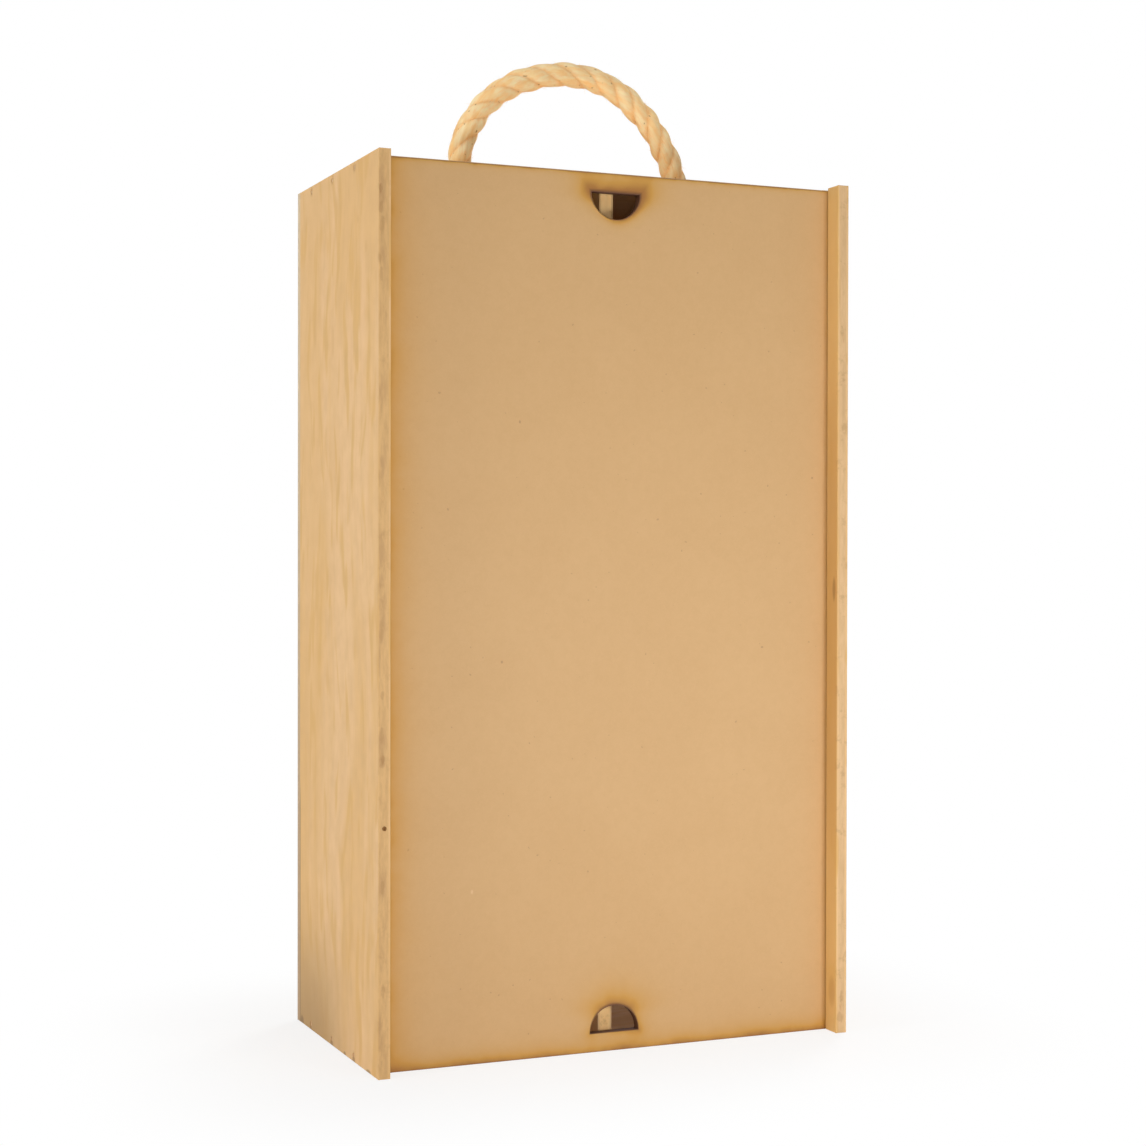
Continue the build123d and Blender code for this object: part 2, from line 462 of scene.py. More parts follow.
# Lumpy ellipsoids set in the front edge. With u round and v from pole to pole, each half axis is
# scaled by 1 + gapWave times a seeded wave of u and v.
def gapCutters(gaps, frontY, seed):
    random = np.random.default_rng(seed)
    u = np.linspace(0, 2 * math.pi, 20, endpoint=False)[None, :]
    v = np.linspace(0, math.pi, 13)[:, None]
    vertices, faces = [], []
    for z, tall, wide, deep, x in gaps:
        wave = np.sin(3 * u + random.uniform(0, 6)) * np.sin(4 * v + random.uniform(0, 6))
        size = 1 + board["gapWave"] * wave * np.sin(v)
        place = np.stack([
            x + wide / 2 * size * np.sin(v) * np.cos(u),
            frontY + deep * size * np.sin(v) * np.sin(u),
            z + tall / 2 * size * np.cos(v) * np.ones_like(u),
        ], -1)
        body = place[1:-1].reshape(-1, 3)
        start = sum(len(part) for part in vertices)
        vertices += [body, place[0, :1], place[-1, :1]]
        rows, columns = place.shape[0] - 2, place.shape[1]
        faces += [face[::-1] for face in gridFaces(rows, columns, start=start)]
        top, bottom = start + len(body), start + len(body) + 1
        last = start + (rows - 1) * columns
        faces += [[top, start + c, start + (c + 1) % columns] for c in range(columns)]
        faces += [[bottom, last + (c + 1) % columns, last + c] for c in range(columns)]
    cutter = newPiece("gapCutters", np.concatenate(vertices), faces)
    work = bmesh.new()
    work.from_mesh(cutter.data)
    bmesh.ops.recalc_face_normals(work, faces=work.faces)
    work.to_mesh(cutter.data)
    work.free()
    return cutter


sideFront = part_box("left_side")[0].y
leftSide = easedBoard("left_side", "left_side_board", gapCutters(leftGaps, sideFront, 3))
rightSide = easedBoard("right_side", "right_side_board", gapCutters(rightGaps, sideFront, 5))
topBoard = easedBoard("top_panel", "top_board")
bottomBoard = easedBoard("bottom_panel", "bottom_board")
dividerBoard = easedBoard("centre_divider", "divider_board")
backBoard = easedBoard("back_panel", "back_board")
print("boards eased")


# Lid, laser cut

lid = dict(
    cornerRadius=0.0006,
    rimRadius=0.0003,
    step=0.00025,  # along a cut edge
    ease=0.00012,
    easeSteps=3,
    kerfTaper=0.00006,  # the cut leans in towards the back
    ripple=0.00003,
    ripplePitch=0.00042,
    wallRows=4,
    holeRadius=0.0105,
    holeMargin=0.0075,
)


# A closed outline through the corners, each turned on a small arc, with evenly spaced points
def roundedLoop(corners, radius, step):
    corners = np.asarray(corners, float)
    before, after = np.roll(corners, 1, 0), np.roll(corners, -1, 0)
    inward, outward = unit(before - corners), unit(after - corners)
    half = np.arccos(np.clip((inward * outward).sum(1), -1, 1)) / 2
    cut = np.minimum(radius / np.tan(half), 0.45 * np.linalg.norm(after - corners, axis=1))[:, None]
    s = np.linspace(0, 1, 5)[None, :, None]
    a = (corners + inward * cut)[:, None]
    b = (corners + outward * cut)[:, None]
    turned = (1 - s) ** 2 * a + 2 * s * (1 - s) * corners[:, None] + s ** 2 * b
    points = turned.reshape(-1, 2)
    points = points[np.linalg.norm(points - np.roll(points, 1, 0), axis=1) > 1e-8]
    closed = np.vstack([points, points[:1]])
    return evenPoints(closed, step)[0][:-1]


# Corners of a half disc whose flat side is at flatZ and whose round side is above or below it
def halfDisc(flatZ, upward, radius):
    a = np.linspace(0, math.pi, 40)
    return np.stack([radius * np.cos(a), flatZ + upward * radius * np.sin(a)], 1)[::upward]


# The wall of a laser cut along a closed outline, from the front face to the back.
# A ring of the wall is the outline moved into the board by an ease at each face, which is a quarter
# circle, plus a taper that grows with depth and a ripple of the beam along the cut.
def cutBand(loop, frontY, backY, seed):
    ahead, behind = np.roll(loop, -1, 0), np.roll(loop, 1, 0)
    direction = unit(ahead - behind)
    outward = np.stack([direction[:, 1], -direction[:, 0]], 1)
    turn = np.linspace(0, math.pi / 2, lid["easeSteps"])
    near = lid["ease"] * (1 - np.cos(turn))
    inset = lid["ease"] * (1 - np.sin(turn))
    middle = np.linspace(0, 1, lid["wallRows"] + 2)[1:-1]
    y = np.r_[frontY + near, frontY + middle * (backY - frontY), (backY - near)[::-1]]
    inset = np.r_[inset, np.zeros(lid["wallRows"]), inset[::-1]]
    depth = (y - frontY) / (backY - frontY)
    along = np.arange(len(loop)) * lid["step"] / lid["ripplePitch"]
    beam = np.abs(softNoise(along * 2, seed))[None, :] * np.sin(math.pi * depth)[:, None] * lid["ripple"]
    moved = inset[:, None] + lid["kerfTaper"] * depth[:, None] + beam
    flat = loop[None] - outward[None] * moved[..., None]
    return np.stack([flat[..., 0], np.broadcast_to(y[:, None], moved.shape), flat[..., 1]], -1)


def makeLid():
    low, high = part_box("sliding_lid")
    outline = [(low.x, low.z), (high.x, low.z), (high.x, high.z), (low.x, high.z)]
    upper = halfDisc(high.z - lid["holeMargin"], -1, lid["holeRadius"])
    lower = halfDisc(low.z + lid["holeMargin"], 1, lid["holeRadius"])
    loops = [
        roundedLoop(outline, lid["cornerRadius"], lid["step"]),
        roundedLoop(upper[::-1], lid["rimRadius"], lid["step"]),
        roundedLoop(lower[::-1], lid["rimRadius"], lid["step"]),
    ]
    work = bmesh.new()
    rims = [[], []]
    for seed, loop in enumerate(loops):
        band = cutBand(loop, low.y, high.y, 20 + seed)
        rows, columns = band.shape[:2]
        made = [work.verts.new(v) for v in band.reshape(-1, 3).tolist()]
        for face in gridFaces(rows, columns):
            work.faces.new([made[i] for i in face])
        for side, first in enumerate((0, (rows - 1) * columns)):
            ring = made[first:first + columns]
            rims[side] += [work.edges.get((a, b)) for a, b in zip(ring, ring[1:] + ring[:1])]
    for rim in rims:
        bmesh.ops.triangle_fill(work, use_beauty=True, use_dissolve=False, edges=rim)
    bmesh.ops.recalc_face_normals(work, faces=work.faces)
    mesh = bpy.data.meshes.new("lid_board")
    work.to_mesh(mesh)
    work.free()
    piece = placed("lid_board", mesh)
    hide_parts("sliding_lid")
    return piece


lidBoard = makeLid()
print("lid cut,", len(lidBoard.data.polygons), "faces")

for body, slot, pieces in (
    ("case", "plywood", (leftSide, rightSide, topBoard, bottomBoard, dividerBoard)),
    ("case", "fibreboard", (backBoard,)),
    ("lid", "fibreboard", (lidBoard,)),
):
    for piece in pieces:
        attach(piece, body)


# Small tools for materials

# A colour as seen on a screen, 0 to 255, in linear light
def colour(rgb):
    c = np.array(rgb) / 255
    c = np.where(c <= 0.04045, c / 12.92, ((c + 0.055) / 1.055) ** 2.4)
    return (*c.tolist(), 1.0)


def startMaterial(name):
    material = bpy.data.materials.new(name)
    material.use_nodes = True
    tree = material.node_tree
    return material, tree, tree.nodes["Principled BSDF"]


# One node: its settings, and its inputs as values or as other nodes' outputs
def put(tree, kind, inputs, **settings):
    made = tree.nodes.new(kind)
    for key, value in settings.items():
        setattr(made, key, value)
    for key, value in inputs.items():
        if isinstance(value, bpy.types.NodeSocket):
            tree.links.new(value, made.inputs[key])
        else:
            made.inputs[key].default_value = value
    return made


# A function that makes one kind of maths node
def mathsNode(operation):
    def made(tree, a, b=0.0, clamp=False):
        return put(tree, "ShaderNodeMath", {0: a, 1: b}, operation=operation, use_clamp=clamp).outputs[0]
    return made


times, plus, minus, over = map(mathsNode, ("MULTIPLY", "ADD", "SUBTRACT", "DIVIDE"))
larger, smaller, power, modulo = map(mathsNode, ("MAXIMUM", "MINIMUM", "POWER", "FLOORED_MODULO"))
root, absolute, sine = map(mathsNode, ("SQRT", "ABSOLUTE", "SINE"))


# a a + b b
def squares(tree, a, b):
    return plus(tree, power(tree, a, 2.0), power(tree, b, 2.0))


# A smooth step from toLow to toHigh as value goes from low to high
def between(tree, value, low, high, toLow=0.0, toHigh=1.0):
    if low > high:
        low, high, toLow, toHigh = high, low, toHigh, toLow
    ranges = {"Value": value, "From Min": low, "From Max": high, "To Min": toLow, "To Max": toHigh}
    return put(tree, "ShaderNodeMapRange", ranges, interpolation_type="SMOOTHSTEP").outputs[0]


# From a to b by a factor, which strength scales
def tint(tree, factor, a, b, strength=None):
    if strength is not None:
        factor = times(tree, factor, strength)
    a, b = (colour(c) if isinstance(c, tuple) and len(c) == 3 else c for c in (a, b))
    return put(tree, "ShaderNodeMix", {0: factor, 6: a, 7: b}, data_type="RGBA").outputs[2]


def triple(tree, x, y, z):
    return put(tree, "ShaderNodeCombineXYZ", {0: x, 1: y, 2: z}).outputs[0]


def noise(tree, vector, scale, detail=2.0, roughness=0.5, distortion=0.0):
    inputs = {"Vector": vector, "Scale": scale, "Detail": detail, "Roughness": roughness}
    inputs["Distortion"] = distortion
    return put(tree, "ShaderNodeTexNoise", inputs).outputs[0]


# The point on the piece, as a vector and as x, y and z
def objectPlace(tree):
    vector = tree.nodes.new("ShaderNodeTexCoord").outputs["Object"]
    parts = put(tree, "ShaderNodeSeparateXYZ", {0: vector}).outputs
    return vector, list(parts)


def extent(node, axis):
    low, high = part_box(node)
    return low[axis], high[axis]


# The distance to the nearer of two planes, negative outside them
def borderDistance(tree, axis, low, high):
    return smaller(tree, minus(tree, axis, low), minus(tree, high, axis))


# The distance to the nearest edge of a board that stands in the XZ plane
def outlineDistance(tree, axes, low, high):
    sides = borderDistance(tree, axes[0], low.x, high.x)
    return smaller(tree, sides, borderDistance(tree, axes[2], low.z, high.z))


# The strongest of several soft spots: each is 1 inside and fades out at its half width and height
def spots(tree, across, up, places):
    strongest = None
    for middleAcross, middleUp, halfWide, halfTall in places:
        a = over(tree, minus(tree, across, middleAcross), halfWide)
        b = over(tree, minus(tree, up, middleUp), halfTall)
        here = between(tree, squares(tree, a, b), 1.0, 0.1)
        strongest = here if strongest is None else larger(tree, strongest, here)
    return strongest


# A colour laid on where the spots are, on one face
def marked(tree, body, plane, places, face, shade, strength):
    here = times(tree, spots(tree, *plane, places), face)
    return tint(tree, here, body, shade, strength)


def finishMaterial(tree, shader, body, height, look):
    strength, depth = look["bump"]
    bump = put(tree, "ShaderNodeBump", {"Strength": strength, "Distance": depth, "Height": height})
    tree.links.new(bump.outputs[0], shader.inputs["Normal"])
    tree.links.new(body, shader.inputs["Base Color"])
    for name, value in look["surface"].items():
        shader.inputs[name].default_value = value


def paint(piece, material):
    piece.data.materials.clear()
    piece.data.materials.append(material)


# Plywood

plywood = dict(
    face=(227, 188, 137),
    warm=(215, 169, 99),  # soft streaks in the veneer
    figure=(206, 160, 101),
    pore=(196, 150, 98),
    core=(222, 184, 136),
    coreDark=(212, 174, 125),
    blotch=(184, 146, 100),  # rough end grain
    blotches=0.35,
    wear=0.3,  # handling marks near the borders
    glue=(196, 155, 103),
    scuff=(150, 108, 58),
    nick=(104, 76, 42),
    smudge=(164, 122, 72),
    # painted shade deep in the gaps of the core
    gapShade=(140, 98, 50),
    stain=(180, 134, 82),  # round a brad
    rubStainAndShade=(178, 128, 66),
    # the inner face's tone: partly rub from the lid, partly painted shade and warm bounce light
    rubAndShade=(213, 170, 99),  # a side's inner face
    heart=0.0,  # how much darker the rear of a side is
    # painted shade low on the show face, near the floor
    footShade=(164, 130, 82),
    coreSpan=(0.22, 0.78),  # shares of the thickness, from the show face
    surface={"Roughness": 0.62, "IOR": 1.42},
    bump=(0.35, 0.00012),  # strength and depth
)
leftPly = dict(
    plywood,
    core=(216, 174, 117),
    coreDark=(204, 162, 107),
    blotch=(178, 138, 92),
    blotches=0.6,
    wear=0.12,
    coreSpan=(0.02, 0.82),
    heart=1.0,
)
# A lit copy of the plywood: the divider's core is painted lighter to stand in for light on its front edge
# seen through the finger holes
litDividerPly = dict(plywood, core=(255, 213, 148), coreDark=(252, 206, 138), blotches=0.1, coreSpan=(0.1, 0.9))


# Rough end grain on the sides' front edges: places and half sizes along x and z
edgeSmudges = [
    (-0.1010, 0.3349, 0.0008, 0.0034),
    (-0.1005, 0.3280, 0.0010, 0.0030),
    (-0.1001, 0.3215, 0.0014, 0.0040),
    (-0.1010, 0.3090, 0.0008, 0.0034),
    (-0.1004, 0.3025, 0.0010, 0.0040),
    (-0.1003, 0.1685, 0.0010, 0.0056),
    (-0.0999, 0.1446, 0.0009, 0.0020),
    (-0.1001, 0.1300, 0.0010, 0.0034),
    (-0.0999, 0.1203, 0.0015, 0.0042),
    (-0.0998, 0.0725, 0.0010, 0.0034),
    (-0.0995, 0.0338, 0.0010, 0.0034),
    (0.0984, 0.0064, 0.0022, 0.0024),
    (0.0990, 0.0150, 0.0010, 0.0030),
]

# Handling marks on the sides: places and half sizes along y and z
outerMarks = [
    (-0.0297, 0.3270, 0.0022, 0.0020),
    (-0.0400, 0.3150, 0.0020, 0.0030),
    (0.0290, 0.2890, 0.0030, 0.0090),
    (0.0040, 0.2830, 0.0026, 0.0080),
]
innerMarks = [(-0.0529, 0.1835, 0.0016, 0.0062)]
# The low spot is a stain; the tall one is painted shade at mid height on the inner face
innerStainsAndShade = [
    (-0.0520, 0.0168, 0.0034, 0.0080),
    (-0.0520, 0.1700, 0.0090, 0.1300),
]
footNicks = [
    (0.0350, 0.0006, 0.0017, 0.0016),
    (0.0048, 0.0008, 0.0026, 0.0018),
    (-0.0130, 0.0004, 0.0020, 0.0014),
    (-0.0250, 0.0008, 0.0024, 0.0018),
    (-0.0440, 0.0004, 0.0036, 0.0012),
    (0.0480, 0.0010, 0.0030, 0.0030),
]
bradRows = dict(first=-0.025, pitch=0.02975, fromEnd=0.0025, stainReach=0.0026)
rearJoint = dict(depths=(0.0499, 0.0513), heights=(0.104, 0.092))  # where its dark line fades in


# A side's marks: smudges, nicks at the foot, the dark rear joint, rough end grain and gaps at the
# front with painted shade deep in the gaps, a stain round each brad, and inside a tan strip that is partly
# rub from the lid and partly painted shade and warm bounce light, with painted shade at mid height
def sideMarks(tree, body, share, axes, look):
    outerFace = between(tree, share, 0.04, 0.01)
    innerFace = between(tree, share, 0.93, 0.98)
    body = marked(tree, body, axes[1:], outerMarks, outerFace, look["figure"], 0.4)
    body = marked(tree, body, axes[1:], footNicks, outerFace, look["nick"], 0.6)
    joint = between(tree, axes[1], *rearJoint["depths"])
    joint = times(tree, joint, between(tree, axes[2], *rearJoint["heights"]))
    body = tint(tree, times(tree, joint, outerFace), body, look["nick"], 0.6)
    fromFront = minus(tree, axes[1], extent("left_side", 1)[0])
    ragged = minus(tree, noise(tree, objectPlace(tree)[0], 420, 3, 0.6), 0.5)
    smudge = spots(tree, plus(tree, axes[0], times(tree, ragged, 0.0014)),
                   plus(tree, axes[2], times(tree, ragged, 0.006)), edgeSmudges)
    smudge = times(tree, smudge, between(tree, fromFront, 0.0012, 0.0006))
    body = tint(tree, smudge, body, look["smudge"], 0.34)
    # Painted shade: the deeper a surface lies in a gap, the darker it is
    gapDepthShade = times(tree, borderDistance(tree, share, 0.03, 0.97), 20.0, True)
    gapDepthShade = times(tree, gapDepthShade, between(tree, fromFront, 0.0002, 0.0008))
    gapDepthShade = times(tree, gapDepthShade, between(tree, fromFront, 0.005, 0.004))
    body = tint(tree, gapDepthShade, body, look["gapShade"], 0.8)
    start = minus(tree, axes[1], bradRows["first"] - bradRows["pitch"] / 2)
    cell = minus(tree, modulo(tree, start, bradRows["pitch"]), bradRows["pitch"] / 2)
    low, high = extent("left_side", 2)
    end = minus(tree, borderDistance(tree, axes[2], low, high), bradRows["fromEnd"])
    stain = between(tree, root(tree, squares(tree, cell, end)), bradRows["stainReach"], 0.0007)
    stain = times(tree, times(tree, stain, outerFace), between(tree, start, 0.0, 0.002))
    body = tint(tree, stain, body, look["stain"], 0.5)
    # Partly rub from the lid, partly painted shade and warm bounce light on the inner face
    body = tint(tree, innerFace, body, look["rubAndShade"], 0.75)
    body = marked(tree, body, axes[1:], innerStainsAndShade, innerFace, look["rubStainAndShade"], 0.4)
    return marked(tree, body, axes[1:], innerMarks, innerFace, look["scuff"], 0.7)


# Three plies: rotary cut faces with their grain along one axis, a core across it, and glue lines.
# order has the axis numbers of thickness, grain and across. The share of the thickness counts from
# the show face, which is the higher one on the right side and the lower one elsewhere.
def plyMaterial(name, node, order, look):
    thickness, grain, across = order
    low, high = extent(node, thickness)
    if node == "right_side":
        low, high = high, low
    material, tree, shader = startMaterial(name)
    vector, axes = objectPlace(tree)
    share = over(tree, minus(tree, axes[thickness], low), high - low)
    along, side = axes[grain], axes[across]

    def stretched(pull, push=1.0):
        parts = [None, None, None]
        parts[grain] = times(tree, along, pull)
        parts[across] = times(tree, side, push)
        parts[thickness] = axes[thickness]
        return triple(tree, *parts)

    drift = noise(tree, stretched(0.9, 0.8), 11, 2, 0.5)
    side = plus(tree, side, times(tree, minus(tree, drift, 0.5), 0.03))
    patch = noise(tree, stretched(0.2), 165, 2, 0.45, 0.3)
    broad = noise(tree, stretched(0.13), 42, 2, 0.5, 0.4)
    fine = noise(tree, stretched(0.03), 800, 3, 0.6)
    contour = noise(tree, stretched(0.11), 22, 1.0, 0.3, 0.2)
    rings = between(tree, sine(tree, times(tree, contour, 105)), 0.3, 1.0)
    dash = between(tree, noise(tree, stretched(0.06), 1500, 1, 0.5), 0.68, 0.76)
    wood = tint(tree, between(tree, broad, 0.42, 0.64, 0.0, 0.5), look["face"], look["warm"])
    wood = tint(tree, between(tree, patch, 0.52, 0.68, 0.0, 0.8), wood, look["warm"])
    wood = tint(tree, rings, wood, look["figure"], 0.11)
    wood = tint(tree, between(tree, fine, 0.4, 0.75, 0.0, 0.09), wood, look["figure"])
    wood = tint(tree, dash, wood, look["pore"], 0.14)
    side = axes[across]

    # The core, end grain on the edges that cut it across
    speck = noise(tree, vector, 2600, 2, 0.7)
    stretch = list(axes)
    stretch[grain] = times(tree, along, 0.2)
    band = noise(tree, triple(tree, *stretch), 700, 3, 0.7)
    core = tint(tree, between(tree, band, 0.35, 0.7), look["core"], look["coreDark"])
    core = tint(tree, between(tree, speck, 0.5, 0.8, 0.0, 0.3), core, look["coreDark"])
    torn = between(tree, noise(tree, triple(tree, *stretch), 230, 3, 0.6), 0.44, 0.70)
    torn = times(tree, torn, between(tree, share, 0.85, 0.35))
    core = tint(tree, torn, core, look["blotch"], look["blotches"])
    wobble = times(tree, minus(tree, noise(tree, vector, 120, 2), 0.5), 0.04)
    layer = plus(tree, share, wobble)
    inCore = borderDistance(tree, layer, *look["coreSpan"])
    body = tint(tree, between(tree, inCore, -0.04, 0.05), wood, core)
    glueLine = between(tree, absolute(tree, inCore), 0.0, 0.035, 0.22, 0.0)
    body = tint(tree, glueLine, body, look["glue"])

    # A darker heart at the rear, painted shade at the foot of the show face near the floor, and handling
    # marks on worn edges
    (alongLow, alongHigh), (sideLow, sideHigh) = extent(node, grain), extent(node, across)
    if look["heart"]:
        flame = noise(tree, stretched(0.12), 55, 3, 0.6, 0.8)
        rear = plus(tree, side, times(tree, minus(tree, flame, 0.5), 0.06))
        body = tint(tree, between(tree, rear, 0.004, 0.022, 0.0, 0.3 * look["heart"]), body, look["warm"])
        # Painted shade: darker towards the floor and towards the rear
        footShade = times(tree, between(tree, along, alongLow + 0.06, alongLow),
                     between(tree, side, sideLow + 0.02, sideHigh - 0.02))
        body = tint(tree, footShade, body, look["footShade"], 0.8)
    if node in ("left_side", "right_side"):
        body = sideMarks(tree, body, share, axes, look)
    border = smaller(tree, borderDistance(tree, along, alongLow, alongHigh),
                     borderDistance(tree, side, sideLow, sideHigh))
    rubs = between(tree, noise(tree, vector, 170, 4, 0.7), 0.55, 0.68)
    worn = times(tree, between(tree, border, 0.002, 0.0), rubs)
    body = tint(tree, worn, body, look["scuff"], look["wear"])
    height = plus(tree, times(tree, fine, 0.6), times(tree, broad, 0.3))
    height = minus(tree, height, times(tree, dash, 0.35))
    finishMaterial(tree, shader, body, height, look)
    return material


for piece, name, node, order, look in (
    (leftSide, "left plywood", "left_side", (0, 2, 1), leftPly),
    (rightSide, "right plywood", "right_side", (0, 2, 1), plywood),
    (topBoard, "top plywood", "top_panel", (2, 0, 1), plywood),
    (bottomBoard, "bottom plywood", "bottom_panel", (2, 0, 1), plywood),
    (dividerBoard, "lit divider plywood", "centre_divider", (0, 2, 1), litDividerPly),
):
    paint(piece, plyMaterial(name, node, order, look))


# Fibreboard

fibreboard = dict(
    base=(209, 169, 118),
    light=(214, 174, 124),
    dark=(200, 159, 107),
    speck=(138, 102, 64),
    fleck=(226, 192, 146),
    scorch=(201, 150, 69),
    brown=(161, 108, 51),
    rim=(98, 62, 38),
    char=(94, 60, 40),
    sawnTop=(216, 194, 160),
    sawnLow=(178, 150, 116),
    sawnDark=(138, 112, 84),
    surface={"Roughness": 0.6, "IOR": 1.42},
    bump=(0.25, 0.0001),  # strength and depth
)

# Small marks on the lid's face: places and half sizes along x and z
darkSpecks = [
    (-0.0483, 0.1558, 0.0006, 0.0007),
    (-0.0409, 0.2494, 0.0005, 0.0008),
    (0.0896, 0.2296, 0.0006, 0.0006),
    (0.0663, 0.1598, 0.0007, 0.0005),
]
paleFlecks = [(-0.0606, 0.0670, 0.0007, 0.0011)]

# Burns along the lid's cuts: the way in which each fades, and its strength at the cut. Left and right
# are measured from the mouth of the groove. The wide left one is partly laser burn and partly painted
# shade, which darkens the lid towards the left side.
burns = dict(
    # partly laser burn, partly painted shade darkening the lid towards the left side
    left=(0.0062, 0.78),
    right=(0.0010, 0.3),
    bottom=(0.0030, 0.98),
    top=(0.0008, 0.9),
    corners=(0.0026, 1.2),
)

# Round the finger holes the smoke went up: the reach and the rim are longer above them than below
smoke = dict(amount=1.2, below=0.0015, above=0.0046, rimBelow=0.00045, rimAbove=0.0013, leftShare=0.4,
             underLower=0.5)


# The distance outside a half disc in the XZ plane: the larger of the ways to its arc and its flat
def discDistance(tree, axes, flatZ, upward, radius):
    away = minus(tree, axes[2], flatZ)
    arc = minus(tree, root(tree, squares(tree, axes[0], away)), radius)
    flat = times(tree, away, -1.0 * upward)
    return larger(tree, arc, flat)


# Colour and height of pressed fibres: an even fine mottling, short fibres and a few dark specks
def pressedFibres(tree, vector, look):
    cloud = noise(tree, vector, 26, 3, 0.5, 0.4)
    mottle = noise(tree, vector, 240, 3, 0.6)
    fibre = noise(tree, vector, 900, 4, 0.7, 1.2)
    grit = noise(tree, vector, 2300, 2, 0.6)
    speck = between(tree, noise(tree, vector, 560, 1, 0.3), 0.765, 0.80)
    body = tint(tree, between(tree, cloud, 0.3, 0.7, 0.0, 0.28), look["base"], look["dark"])
    body = tint(tree, between(tree, mottle, 0.35, 0.68, 0.0, 0.24), body, look["dark"])
    body = tint(tree, between(tree, fibre, 0.38, 0.7, 0.0, 0.3), body, look["light"])
    body = tint(tree, between(tree, grit, 0.5, 0.72, 0.0, 0.16), body, look["dark"])
    body = tint(tree, speck, body, look["speck"], 0.3)
    height = plus(tree, times(tree, fibre, 0.8), times(tree, grit, 0.4))
    return body, height


# A burn's strength at the cut, divided by e for each reach away from it, times an unevenness
def halo(tree, distance, burn, uneven):
    reach, amount = burn
    away = over(tree, larger(tree, distance, 0.0), reach)
    fall = power(tree, math.e, times(tree, away, -1.0))
    return times(tree, times(tree, fall, amount), uneven)


# Two burns on one spot: a + b - a b
def joined(tree, a, b):
    return plus(tree, a, times(tree, b, minus(tree, 1.0, a)))


# Pressed fibres cut with a laser, which leaves charred walls and a brown rim, and yellow to brown
# haloes that fade away from each cut. The wide halo along the left is partly painted shade.
def lidMaterialFor(node, look=fibreboard):
    material, tree, shader = startMaterial("lid board")
    vector, axes = objectPlace(tree)
    body, height = pressedFibres(tree, vector, look)
    low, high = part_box(node)
    sideInner = extent("right_side", 0)[0]
    uneven = between(tree, noise(tree, vector, 42, 3, 0.6), 0.25, 0.75, 0.72, 1.25)
    wander = times(tree, minus(tree, noise(tree, vector, 190, 3, 0.6), 0.5), 0.0012)
    lopsided = between(tree, axes[0], -0.009, 0.004, smoke["leftShare"], 1.0)
    outer = {
        "left": plus(tree, axes[0], sideInner),
        "right": minus(tree, sideInner, axes[0]),
        "bottom": minus(tree, axes[2], low.z),
        "top": minus(tree, high.z, axes[2]),
    }
    burnt = None
    for name, distance in outer.items():
        here = halo(tree, plus(tree, distance, wander), burns[name], uneven)
        burnt = here if burnt is None else joined(tree, burnt, here)
    face = between(tree, axes[1], low.y + 0.0002, low.y + 0.0001)
    body = marked(tree, body, axes[::2], darkSpecks, face, look["speck"], 0.45)
    body = marked(tree, body, axes[::2], paleFlecks, face, look["fleck"], 0.6)
    border = outlineDistance(tree, axes, low, high)
    rim = between(tree, border, 0.0004, 0.0001, 0.0, 0.5)
    edge = border
    for flatZ, upward in ((high.z - lid["holeMargin"], -1), (low.z + lid["holeMargin"], 1)):
        hole = discDistance(tree, axes, flatZ, upward, lid["holeRadius"])
        edge = smaller(tree, edge, hole)
        middle = flatZ + upward * lid["holeRadius"] / 2
        above = between(tree, axes[2], middle - 0.5 * lid["holeRadius"], middle + 0.7 * lid["holeRadius"])
        reach = between(tree, above, 0.0, 1.0, smoke["below"], smoke["above"])
        under = times(tree, lopsided, 1.0 if upward < 0 else smoke["underLower"])
        strength = times(tree, uneven, larger(tree, above, under))
        burnt = joined(tree, burnt, halo(tree, plus(tree, hole, wander), (reach, smoke["amount"]), strength))
        past = minus(tree, absolute(tree, axes[0]), lid["holeRadius"])
        rise = minus(tree, axes[2], flatZ)
        corner = root(tree, squares(tree, past, rise))
        cornerShare = times(tree, uneven, 1.0 if upward < 0 else 0.5)
        burnt = joined(tree, burnt, halo(tree, corner, burns["corners"], cornerShare))
        rimReach = between(tree, above, 0.0, 1.0, smoke["rimBelow"], smoke["rimAbove"])
        near = minus(tree, 1.0, over(tree, hole, rimReach), clamp=True)
        rim = larger(tree, rim, times(tree, near, 1.1, True))
    body = tint(tree, times(tree, burnt, 1.9, True), body, look["scorch"])
    body = tint(tree, between(tree, burnt, 0.4, 1.05), body, look["brown"])
    body = tint(tree, rim, body, look["rim"])
    fromFace = borderDistance(tree, axes[1], low.y, high.y)
    wall = times(tree, between(tree, fromFace, 0.00001, 0.00015), between(tree, edge, 0.0004, 0.0001))
    sooty = times(tree, wall, between(tree, noise(tree, vector, 700, 3), 0.2, 0.7, 0.75, 1.0))
    body = tint(tree, sooty, body, look["char"])
    finishMaterial(tree, shader, body, height, look)
    return material


# The same board sawn: its cut edges are greyish at the top and darker below
def backMaterialFor(node, look=fibreboard):
    material, tree, shader = startMaterial("back board")
    vector, axes = objectPlace(tree)
    body, height = pressedFibres(tree, vector, look)
    low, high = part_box(node)
    edge = outlineDistance(tree, axes, low, high)
    inFace = borderDistance(tree, axes[1], low.y, high.y)
    cut = times(tree, between(tree, edge, 0.0006, 0.0002), between(tree, inFace, 0.0, 0.0003))
    layers = noise(tree, triple(tree, 0.0, axes[1], times(tree, axes[2], 0.12)), 1500, 3, 0.6)
    cutTone = tint(tree, between(tree, axes[2], high.z, low.z), look["sawnTop"], look["sawnLow"])
    cutTone = tint(tree, between(tree, layers, 0.35, 0.7, 0.0, 0.3), cutTone, look["sawnDark"])
    body = tint(tree, cut, body, cutTone)
    finishMaterial(tree, shader, body, height, look)
    return material


paint(lidBoard, lidMaterialFor("sliding_lid"))
paint(backBoard, backMaterialFor("back_panel"))


# Rope fibre

